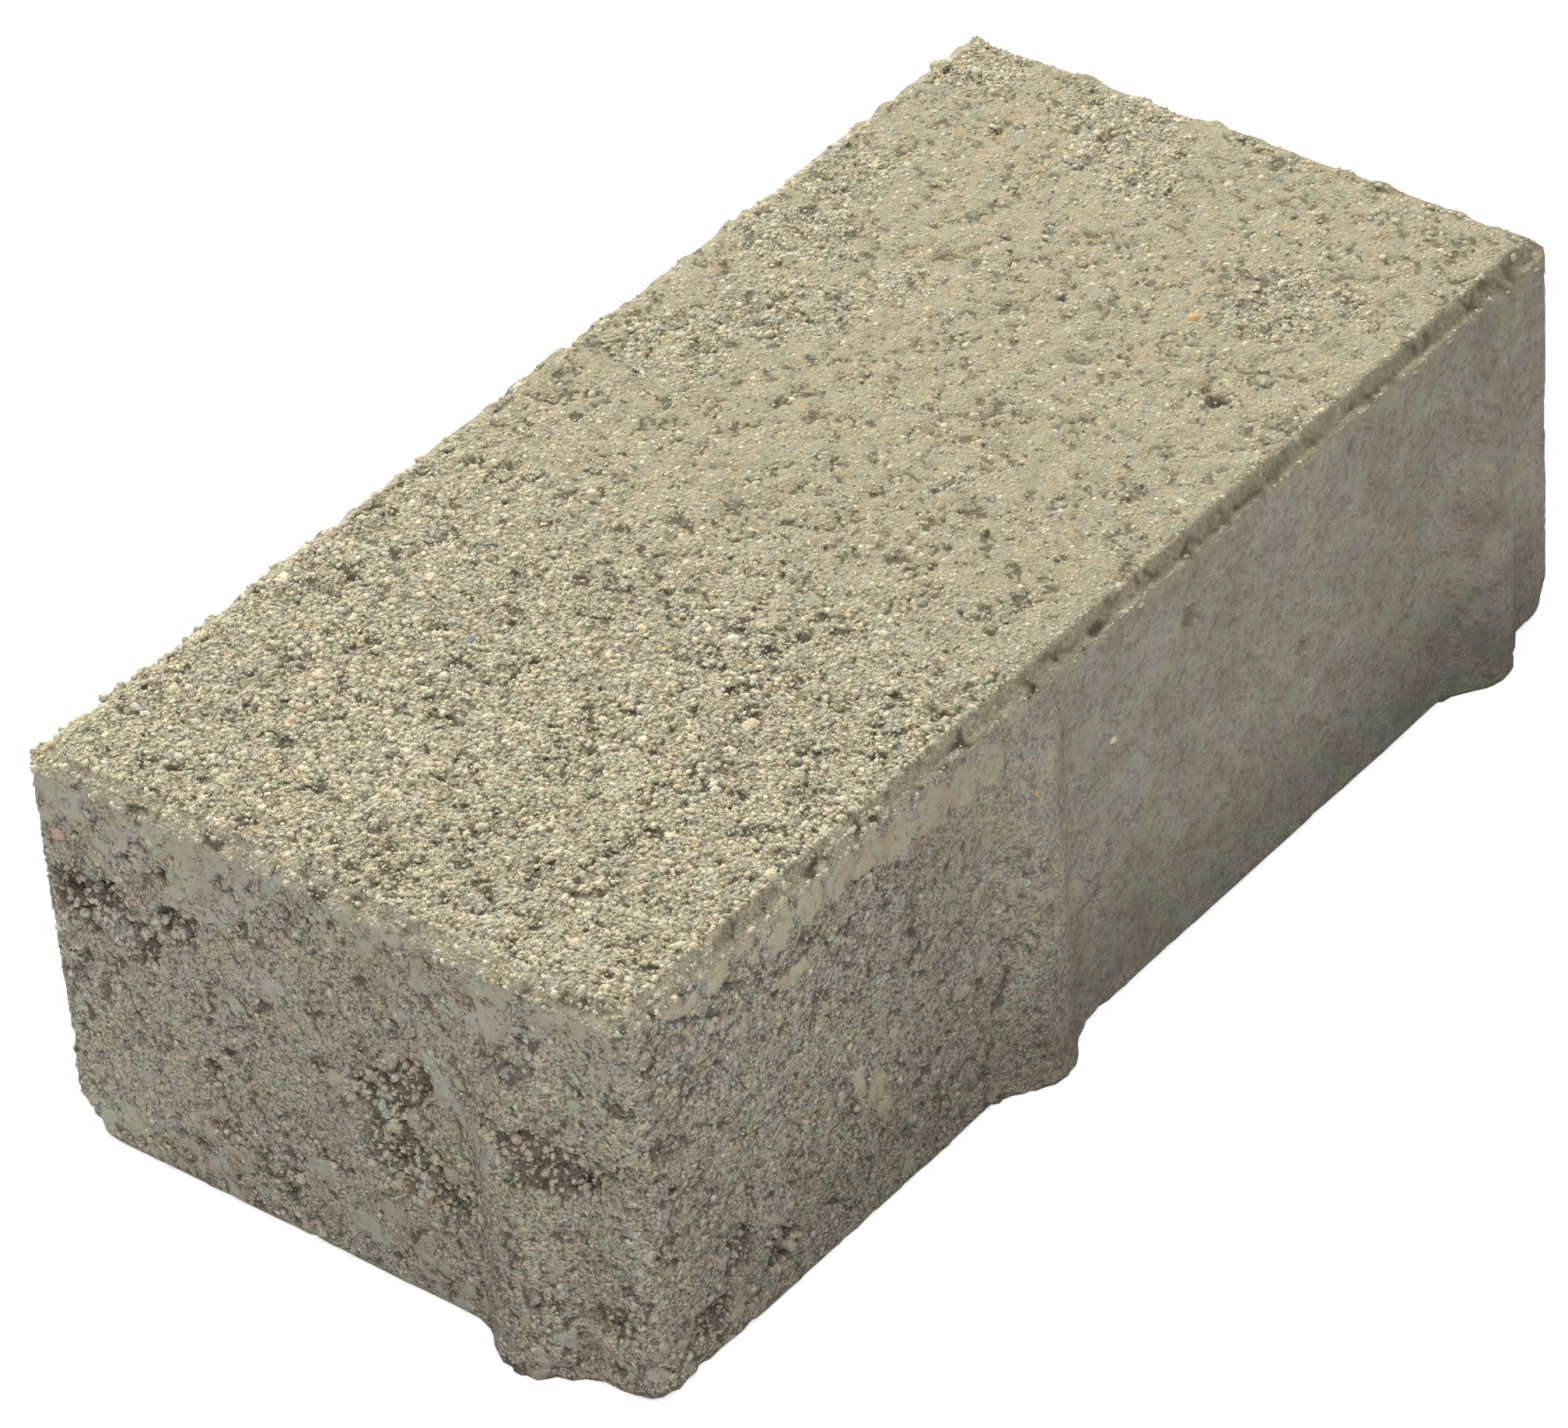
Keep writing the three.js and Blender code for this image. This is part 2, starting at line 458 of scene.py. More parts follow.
def shoulder(places):
    """How far each vertex rises, so that the rim's ledge and bevel are worn into a soft shoulder,
    most of all at the ends, and carry lumps of stray mortar."""
    inset, z = rim_inset(places), places[:, 2]
    worn = 0.42 - 0.36 * smooth(places[:, 0], -70, 20) + 0.3 * noise(places, 9, 91)
    at_end = smooth(inset - (HALF_LENGTH - np.abs(places[:, 0])), -1.5, -0.2)
    worn = np.maximum(worn, at_end * (0.6 + 0.3 * noise(places, 11, 93)))
    worn = np.clip(worn, 0, 1)
    bevelled = np.interp(inset, (0, LEDGE, BEVEL_END), (ARRIS, ARRIS, THICKNESS))
    part = np.clip(inset / SHOULDER, 0, 1)
    rounded = THICKNESS - (THICKNESS - ARRIS) * (1 - part) ** 2
    rise = worn * (rounded - bevelled) * (inset < SHOULDER)
    rise -= 0.25 * (1 - worn) * groove(places) * (z < 59.2)
    return (rise + burrs(places)) * smooth(z, 57.2, 57.9)


def burrs(places):
    """How high lumps of stray mortar stand on the two far rims, as in the photo."""
    x, y = places[:, 0], places[:, 1]
    lump = smooth(clouds(places, 3.2, 101, 2), -0.25, 0.95)
    swelling = smooth(noise(places, 7.5, 103), -0.5, 0.7)
    side_rim = smooth(y, HALF_WIDTH - 3.4, HALF_WIDTH - 2.0)
    end_rim = smooth(x, HALF_LENGTH - 3.4, HALF_LENGTH - 2.0)
    return np.maximum(side_rim, end_rim) * (lump + 0.5 * swelling - 0.2)


def edge_zone(places):
    """1 near the rim and the bed's edge, and 0 elsewhere."""
    inset, z = rim_inset(places), places[:, 2]
    low = 1 - smooth(np.maximum(np.abs(inset) - 2.5, 0) + np.abs(z), 1.0, 3.0)
    high = (1 - smooth(np.abs(inset - 1), 1.5, 3.0)) * smooth(z, 55.5, 57)
    return np.maximum(low, high)


def relaxed(mesh, places, weight):
    """The places drawn towards the mean of their neighbours, twice, by weight."""
    edges = np.empty(len(mesh.edges) * 2, np.int32)
    mesh.edges.foreach_get("vertices", edges)
    first, second = edges.reshape(-1, 2).T
    count = len(places)
    degree = np.bincount(first, minlength=count) + np.bincount(second, minlength=count)
    for _ in range(2):
        total = np.stack([
            np.bincount(first, places[second, axis], count)
            + np.bincount(second, places[first, axis], count)
            for axis in range(3)
        ], 1)
        places = places + (total / degree[:, None] - places) * (0.6 * weight[:, None])
    return places


def spare_detail(places, fields):
    """How well each place can do with few triangles, from 0.2 to 1."""
    side = 0.7 - 0.5 * fields["lively"]
    return np.where(places[:, 2] < 1.0, 1.0, np.where(fields["wearing"] > 0.5, 0.6, side))


def new_object(name, data):
    """An object of the scene that holds a mesh, a light or a camera."""
    made = bpy.data.objects.new(name, data)
    bpy.context.scene.collection.objects.link(made)
    return made


def set_field(mesh, name, values):
    """Keeps one number for each vertex, for a material to read."""
    attribute = mesh.attributes.new(name, "FLOAT", "POINT")
    attribute.data.foreach_set("value", np.asarray(values, np.float32))


def make_stone():
    """The worn stone, and the dense surface that it was thinned from: places, normals and fields."""
    mesh = fine_mesh()
    places = read(mesh, "place")
    normals = read(mesh, "normal")
    move, fields = relief(places, normals)
    move -= wear(places)
    moved = places + normals * move[:, None]
    moved[:, 2] += shoulder(places)
    moved = relaxed(mesh, moved, edge_zone(places))
    moved[:, 2] = np.maximum(moved[:, 2], LOWEST)
    mesh.vertices.foreach_set("co", (moved * MM).astype(np.float32).ravel())
    for name, values in fields.items():
        set_field(mesh, name, values)
    mesh.update()
    mesh = thinned(mesh, spare_detail(places, fields))
    mesh.shade_smooth()
    return new_object("stone", mesh), (moved, normals, fields)


# ---- grains
def one_per_cell(keys, rng):
    """Indices that pick one row at random from each set of equal keys."""
    order = rng.permutation(len(keys))
    _, first = np.unique(keys[order], axis=0, return_index=True)
    return order[first]


def lump_shape(faces):
    """A lump of 8, 20 or 80 faces as points and triangles."""
    shape = bmesh.new()
    if faces == 8:
        points = [(1, 0, 0), (-1, 0, 0), (0, 1, 0), (0, -1, 0), (0, 0, 1), (0, 0, -1)]
        bmesh.ops.convex_hull(shape, input=[shape.verts.new(point) for point in points])
    else:
        bmesh.ops.create_icosphere(shape, subdivisions=1 if faces == 20 else 2, radius=1)
    shape.verts.index_update()
    found = np.array([vertex.co for vertex in shape.verts])
    triangles = np.array([[vertex.index for vertex in face.verts] for face in shape.faces])
    shape.free()
    return found, triangles


def random_turns(count, rng):
    """Rotation matrices (count, 3, 3) spread evenly over all turns."""
    four = rng.normal(size=(4, count))
    w, x, y, z = four / np.linalg.norm(four, axis=0)
    rows = [
        [1 - 2 * (y * y + z * z), 2 * (x * y - z * w), 2 * (x * z + y * w)],
        [2 * (x * y + z * w), 1 - 2 * (x * x + z * z), 2 * (y * z - x * w)],
        [2 * (x * z - y * w), 2 * (y * z + x * w), 1 - 2 * (x * x + y * y)],
    ]
    return np.moveaxis(np.array(rows), 2, 0)


def turns_on(normals, rng, tilt):
    """Rotation matrices that stand +Z nearly along each normal, spun at random about it."""
    count = len(normals)
    lean = normals + rng.normal(size=(count, 3)) * tilt
    up = lean / np.linalg.norm(lean, axis=1)[:, None]
    across = np.cross(up, rng.normal(size=(count, 3)))
    across /= np.linalg.norm(across, axis=1)[:, None]
    return np.stack([across, np.cross(up, across), up], 2)


class Grains:
    """Irregular closed lumps gathered into one piece, each with its own tint, 0 to 1."""

    def __init__(self, seed):
        self.rng = np.random.default_rng(seed)
        self.points, self.triangles, self.tints = [], [], []
        self.count = 0

    def add(
        self, centres, radii, faces, jitter=0.28, flatness=(0.55, 0.95), tints=None, normals=None
    ):
        """Lumps at centres. They lie flat on the normals where these are given, and otherwise any
        way up."""
        shape, triangles = lump_shape(faces)
        rng, count = self.rng, len(centres)
        squash = np.ones((count, 1, 3))
        squash[:, 0, 1] = rng.uniform(0.7, 1.0, count)
        squash[:, 0, 2] = rng.uniform(*flatness, count)
        swell = 1 + rng.uniform(-jitter, jitter, (count, len(shape), 1))
        shaped = shape[None] * swell * squash
        turns = random_turns(count, rng) if normals is None else turns_on(normals, rng, 0.22)
        turned = np.einsum("nij,npj->npi", turns, shaped)
        self.points.append((centres[:, None] + turned * radii[:, None, None]).reshape(-1, 3))
        first = self.count + np.arange(count)[:, None, None] * len(shape)
        self.triangles.append((triangles[None] + first).reshape(-1, 3))
        tints = rng.random(count) if tints is None else tints
        self.tints.append(np.repeat(tints, len(shape)))
        self.count += count * len(shape)

    def strew(
        self, surface, where, spacing, share, middle, spread, faces, sunk,
        flat=None, deeper=None, **shape
    ):
        """Lumps on the surface where it says so, about spacing apart, kept by share, with radii of
        about middle. Each is sunk by a share of its radius, from and to, and deeper adds to that
        by place. flat is the flatness, from and to, of lumps that lie along the surface."""
        moved, normals, _ = surface
        rows = np.nonzero(where)[0]
        keys = np.floor(moved[rows] @ TURN / spacing).astype(int)
        rows = rows[one_per_cell(keys, self.rng)]
        kept = share[rows] if isinstance(share, np.ndarray) else share
        rows = rows[self.rng.random(len(rows)) < kept]
        radii = middle * np.exp(np.clip(self.rng.normal(size=len(rows)), -2, 2.2) * spread)
        sink = self.rng.uniform(*sunk, len(rows))
        if deeper is not None:
            sink += deeper[rows]
        if flat:
            shape = {"normals": normals[rows], "flatness": flat}
        self.add(moved[rows] - normals[rows] * (sink * radii)[:, None], radii, faces, **shape)

    def made(self, name):
        """The lumps as one piece."""
        corners = np.concatenate(self.triangles).reshape(-1)
        places = (np.concatenate(self.points) * MM).astype(np.float32)
        mesh = bpy.data.meshes.new(name)
        mesh.vertices.add(self.count)
        mesh.vertices.foreach_set("co", places.ravel())
        mesh.loops.add(len(corners))
        mesh.loops.foreach_set("vertex_index", corners.astype(np.int32))
        mesh.polygons.add(len(corners) // 3)
        mesh.polygons.foreach_set("loop_start", np.arange(0, len(corners), 3, dtype=np.int32))
        mesh.update(calc_edges=True)
        mesh.validate()
        set_field(mesh, "tint", np.concatenate(self.tints))
        mesh.shade_smooth()
        return new_object(name, mesh)


def make_sand(surface):
    """Sand grains that stand out of the wearing face, in three pieces along the stone."""
    moved, _, fields = surface
    bare = smooth(clouds(moved, 6.5, 81, 2), -0.1, 0.9)
    calm = fields["calm"]
    full = 1 - smooth(fields["hollow"], 0.1, 0.5)
    far_rim = moved[:, 1] > HALF_WIDTH - 2.5  # seen against the background
    on_flat = (fields["wearing"] > 0.9) & (moved[:, 2] > 58.5)
    on_rim = (fields["wearing"] > 0.5) & ~on_flat
    clump = 1 - 0.85 * crevices(moved)
    lots, few = full * clump, 1 - 0.72 * calm
    flat = (0.35, 0.65)
    kinds = (
        # where, spacing, share, middle radius, spread, faces, sunk, flat
        (on_flat, 3.4, 0.35 * full, 0.85, 0.25, 80, (0.35, 0.6), flat),
        (on_flat, 1.18, (0.95 - 0.45 * bare) * lots * few, 0.44, 0.30, 20, (0.0, 0.4), flat),
        (on_flat, 0.80, (0.90 - 0.30 * bare) * lots * few, 0.27, 0.26, 8, (-0.4, 0.3), None),
        (on_rim & far_rim, 2.4, 0.8, 0.55, 0.3, 20, (-0.2, 0.5), None),
        (on_rim & ~far_rim, 1.3, 0.45, 0.50, 0.28, 20, (0.4, 0.7), flat),
        (on_rim & ~far_rim, 0.85, 0.5, 0.27, 0.25, 8, (0.1, 0.5), flat),
    )
    thirds = ((5, "sand_near", -99, -50), (6, "sand_mid", -50, 17), (7, "sand_far", 17, 99))
    made = []
    for seed, name, low, high in thirds:
        grains = Grains(seed)
        part = (moved[:, 0] >= low) & (moved[:, 0] < high)
        for where, *kind in kinds:
            grains.strew(surface, where & part, *kind, deeper=0.4 * calm)
        made.append(grains.made(name))
    return made


def make_grit(surface):
    """The grit that stands a little out of the sides near the stone's near end, in two pieces."""
    moved, normals, fields = surface
    share = fields["gritty"] * smooth(fields["lively"], 0.65, 1.0) * (fields["missing"] < 0.3)
    share *= (1 - 0.8 * fields["seam"]) * (1 - 0.85 * fields["crevice"]) * (moved[:, 2] > 1.5)
    wanted = (np.abs(normals[:, 2]) < 0.5) & (share > 0.15)
    at_end = moved[:, 0] < 3 - HALF_LENGTH
    kinds = (
        # spacing, share, middle radius, spread, faces, sunk, flat
        (1.20, share * 0.60, 0.50, 0.3, 20, (0.25, 0.6), (0.35, 0.6)),
        (0.80, share * 0.50, 0.26, 0.3, 8, (0.1, 0.6), None),
    )
    made = []
    for seed, name, part in ((10, "grit_end", at_end), (11, "grit_long", ~at_end)):
        grains = Grains(seed)
        for kind in kinds:
            grains.strew(surface, wanted & part, *kind)
        made.append(grains.made(name))
    return made


def make_crumbs(surface):
    """Lumps of aggregate that show where mortar is missing from the sides, but for deep pits."""
    fields = surface[2]
    missing = fields["missing"] * (fields["deep"] < 0.7)
    kinds = (
        # where, spacing, share, middle radius, spread, faces, sunk
        (missing > 0.2, 3.4, 0.4 * missing, 0.95, 0.2, 80, (0.2, 0.6)),
        (missing > 0.1, 1.35, 0.76 * missing, 0.56, 0.35, 20, (0.0, 0.6)),
        (missing > 0.05, 0.9, 0.5 * missing, 0.32, 0.3, 20, (-0.3, 0.6)),
    )
    crumbs = Grains(8)
    for kind in kinds:
        crumbs.strew(surface, *kind, jitter=0.36, flatness=(0.45, 0.9))
    return crumbs.made("crumbs")


# Single stones that show in the paste: x, y, z, radius, which of PEBBLE_TONES
PEBBLES = [
    (-49.2, 15.5, 60, 1.1, 0),
    (-74.2, 24, 60, 0.9, 1),
    (-72, 24.3, 60, 0.8, 1),
    (-17, 22.5, 60, 0.8, 2),
    (56.5, -19, 60, 1.1, 3),
    (74.5, 4.5, 60, 0.8, 2),
    (-83, 41.5, 60, 0.9, 4),
    (-98, -11.5, 27.5, 2.3, 5),
    (-98, -17, 21.5, 2.2, 5),
    (-98, 0.2, 30, 1.6, 5),
    (-98, -26.5, 36, 2, 5),
    (-98, -9, 37.5, 1.4, 5),
    (-98, 43, 49.2, 1.2, 1),
    (-2.3, -48, 40.5, 0.9, 2),
    (-20.5, -48, 43.8, 0.6, 3),
    (-17.2, -48, 36.6, 1.1, 3),
    (40, 48, 33, 1.3, 1),
    (-61, 48, 41, 1, 4),
    (12, 48, 18, 1.8, 5),
    (98, -12, 38, 1.5, 5),
    (98, 27, 22, 1.1, 2),
]
PEBBLE_TONES = [
    (132, 138, 140),
    (208, 182, 160),
    (232, 220, 188),
    (214, 178, 124),
    (206, 204, 190),
    (186, 176, 158),
]


def make_pebbles(surface):
    """The single stones, each sunk by nearly half its radius."""
    moved, normals, _ = surface
    pebbles = Grains(9)
    for x, y, z, radius, tone in PEBBLES:
        row = np.argmin(np.linalg.norm(moved - (x, y, z), axis=1))
        centre = moved[row] - normals[row] * radius * 0.45
        tints = np.array([(tone + 0.5) / len(PEBBLE_TONES)])
        pebbles.add(centre[None], np.array([radius]), 80, jitter=0.1, tints=tints)
    return pebbles.made("pebbles")


# ---- map for baking
def flat_map(mesh, lean=0.0, top_only=False, gap=1.5):
    """A UV map with each side of the stone as one flat panel, so that a baked picture has few seams.

    A face counts as lean millimetres further out on the side that it faces. The bed is drawn at
    half size."""
    count, corners = len(mesh.polygons), len(mesh.loops)
    centres, normals = np.empty(count * 3, np.float32), np.empty(count * 3, np.float32)
    sizes, rows = np.empty(count, np.int32), np.empty(corners, np.int32)
    mesh.polygons.foreach_get("center", centres)
    mesh.polygons.foreach_get("normal", normals)
    mesh.polygons.foreach_get("loop_total", sizes)
    mesh.loops.foreach_get("vertex_index", rows)
    x, y, z = (centres / MM + lean * normals).reshape(-1, 3).T
    outside = [
        x - HALF_LENGTH, -x - HALF_LENGTH, y - HALF_WIDTH, -y - HALF_WIDTH, z - THICKNESS, -z,
    ]
    top, bed = 4, 5
    side = np.repeat(np.argmax(outside, axis=0), sizes)
    if top_only:
        side[:] = top
    places = read(mesh, "place")[rows]
    panels = []
    for which, axes in enumerate(((1, 2), (1, 2), (0, 2), (0, 2), (0, 1), (0, 1))):
        mine = side == which
        if mine.any():
            flat = places[mine][:, axes] * (0.5 if which == bed else 1)
            panels.append((mine, flat - flat.min(axis=0)))
    panels.sort(key=lambda panel: -np.ptp(panel[1][:, 1]))
    spans = [np.ptp(flat, axis=0) + gap for _, flat in panels]
    widths = [span[0] for span in spans]
    best = None
    for width in np.linspace(max(widths), sum(widths), 24):
        corners_at, left, low, high = [], 0, 0, 0
        for span in spans:
            if left + span[0] > width + 1e-6:
                left, low = 0, high
            corners_at.append((left, low))
            left, high = left + span[0], max(high, low + span[1])
        if best is None or max(width, high) < best[0]:
            best = (max(width, high), corners_at)
    places_on_map = np.zeros((corners, 2))
    for (mine, flat), corner in zip(panels, best[1]):
        places_on_map[mine] = (flat + corner + gap / 2) / best[0]
    layer = mesh.uv_layers.new(name="OFBake")
    layer.uv.foreach_set("vector", places_on_map.astype(np.float32).ravel())


# ---- materials
class Tree:
    """A short way to write a material's nodes."""

    def __init__(self, name):
        self.material = bpy.data.materials.new(name)
        self.material.use_nodes = True
        self.tree = self.material.node_tree
        self.tree.nodes.clear()

    def node(self, kind, *values, **settings):
        """A node with its inputs set or linked in order, or by name from a dict."""
        made = self.tree.nodes.new(kind)
        named = values[-1] if values and isinstance(values[-1], dict) else {}
        for name, value in settings.items():
            setattr(made, name, value)
        given = [v for v in values if not isinstance(v, dict)]
        for slot, value in [*enumerate(given), *named.items()]:
            if value is None:
                continue
            if isinstance(value, bpy.types.NodeSocket):
                self.tree.links.new(value, made.inputs[slot])
            else:
                made.inputs[slot].default_value = value
        return made

    def math(self, operation, *values):
        """The result of one sum."""
        return self.node("ShaderNodeMath", *values, operation=operation).outputs[0]

    def ramp(self, value, low, high, to_low=0.0, to_high=1.0):
        """value taken smoothly from low..high to to_low..to_high."""
        made = self.node(
            "ShaderNodeMapRange", value, low, high, to_low, to_high, interpolation_type="SMOOTHSTEP"
        )
        return made.outputs[0]

    def mix(self, share, first, second, blend="MIX"):
        """first turned by share into second."""
        made = self.node("ShaderNodeMix", data_type="RGBA", blend_type=blend)
        for name, value in (("Factor_Float", share), ("A_Color", first), ("B_Color", second)):
            socket = next(s for s in made.inputs if s.identifier == name)
            if isinstance(value, bpy.types.NodeSocket):
                self.tree.links.new(value, socket)
            else:
                socket.default_value = value
        return next(s for s in made.outputs if s.identifier == "Result_Color")

    def times(self, tone, factor):
        """tone made lighter or darker by a factor, or by a colour of three factors."""
        return self.mix(1.0, tone, factor, "MULTIPLY")

    def hues(self, place, scale, detail):
        """Three cloudy fields that don't follow each other."""
        values = {"Vector": place, "Scale": scale, "Detail": detail}
        clouded = self.node("ShaderNodeTexNoise", values).outputs["Color"]
        return self.node("ShaderNodeSeparateColor", clouded).outputs

    def field(self, name):
        """One of the fields that are kept with the vertices."""
        return self.node("ShaderNodeAttribute", attribute_name=name).outputs["Fac"]


def colour(red, green, blue):
    """An sRGB colour from 0 to 255 as Blender's linear one."""

    def linear(value):
        value /= 255
        return value / 12.92 if value <= 0.04045 else ((value + 0.055) / 1.055) ** 2.4

    return (linear(red), linear(green), linear(blue), 1.0)


# Paste of the wearing face, its broad hues, and the grains in it
PASTE, PALE_PASTE = colour(194, 186, 152), colour(212, 206, 178)
SANDY, GREENISH, GREYISH = colour(216, 198, 158), colour(190, 195, 168), colour(204, 200, 186)
PINK_GRAIN, GREEN_GRAIN = colour(220, 188, 160), colour(168, 174, 154)
WHITE_GRAIN = colour(244, 235, 205)
# Film of the sides, its broad hues, its smaller hues, and the specks in it
FILM, GREEN_FILM, BROWN_FILM = colour(198, 192, 180), colour(196, 194, 168), colour(190, 174, 154)
SPOT_PINK, SPOT_GREEN = colour(208, 189, 168), colour(183, 191, 184)
SPOT_DARK = colour(140, 132, 120)
SPECK_PINK, SPECK_GREEN = colour(206, 174, 154), colour(168, 174, 163)
LUMP_PINK, LUMP_GREEN = colour(206, 174, 150), colour(168, 174, 168)
# Painted shade: in gaps between grains, along the rim's groove, in pits and other hollows, and in the
# hollows of single lumps
SIDE_GAP_SHADE, TOP_GAP_SHADE = colour(72, 66, 56), colour(78, 71, 54)
GROOVE_SHADE, CAVITY_SHADE = colour(116, 110, 86), colour(86, 78, 66)
SAND_SHADE, CRUMB_SHADE = colour(124, 114, 90), colour(116, 106, 93)
GRIT_SHADE, PEBBLE_SHADE = colour(112, 103, 90), colour(110, 102, 90)
# Factors on a tone
FILM_FACTOR = (0.82, 0.82, 0.81, 1)
CLOSED_FACTOR = (1.07, 1.035, 0.935, 1)  # closed film of the long side, close to the near end
CLOSED_END_FACTOR = (0.91, 0.935, 0.95, 1)  # and that of the near end itself
CALM_FACTOR = (0.77, 0.752, 0.715, 1)  # calm grain, which would look too bright
DARK_SPECK, LIGHT_SPECK = (0.80, 0.79, 0.78, 1), (1.16, 1.15, 1.13, 1)
DARK_LUMP, LIGHT_LUMP = (0.86, 0.85, 0.84, 1), (1.24, 1.23, 1.20, 1)


def mineral_place(t):
    """The surface's own place, in millimetres."""
    coordinates = t.node("ShaderNodeTexCoord").outputs["Object"]
    return t.node("ShaderNodeVectorMath", coordinates, (1 / MM,) * 3, operation="MULTIPLY").outputs[0]


def axes(t, place):
    """The place's x, y and z."""
    return t.node("ShaderNodeSeparateXYZ", place).outputs


def fractal(t, place, scale, detail, roughness=0.5):
    """A cloudy field from about 0.3 to 0.7."""
    values = {"Vector": place, "Scale": scale, "Detail": detail, "Roughness": roughness}
    return t.node("ShaderNodeTexNoise", values).outputs["Fac"]


def top_tone(t, place, own):
    """Cement paste of the wearing face, with grains of other stone in it."""
    tone = t.mix(fractal(t, place, 0.05, 4.0), PASTE, PALE_PASTE)
    broad = t.hues(place, 0.4, 3.0)
    tone = t.mix(t.ramp(broad[0], 0.44, 0.66, 0.0, 0.7), tone, SANDY)
    tone = t.mix(t.ramp(broad[1], 0.44, 0.66, 0.0, 0.7), tone, GREENISH)
    tone = t.mix(t.ramp(broad[2], 0.44, 0.66, 0.0, 0.5), tone, GREYISH)
    along = axes(t, place)[0]
    tone = t.times(tone, t.ramp(along, -60, 25, 1.05, 0.94))
    parts = t.node("ShaderNodeSeparateColor", own).outputs
    grain = t.mix(t.ramp(parts[0], 0.66, 0.97, 0.0, 0.5), tone, PINK_GRAIN)
    grain = t.mix(t.ramp(parts[1], 0.60, 0.97, 0.0, 0.6), grain, GREEN_GRAIN)
    grain = t.mix(t.ramp(parts[2], 0.86, 0.99, 0.0, 0.7), grain, WHITE_GRAIN)
    return t.mix(t.ramp(along, -45, 25, 1.0, 0.5), tone, grain)


def finish_material(t, tone, height):
    """A matt, bumpy mineral surface. height is in millimetres."""
    bump = t.node("ShaderNodeBump", {"Strength": 1.0, "Distance": MM, "Height": height})
    values = {"Base Color": tone, "Roughness": 0.93, "Normal": bump.outputs[0]}
    shader = t.node("ShaderNodeBsdfPrincipled", values)
    shader.inputs["Specular IOR Level"].default_value = 0.25
    t.node("ShaderNodeOutputMaterial", shader.outputs[0])
    return t.material


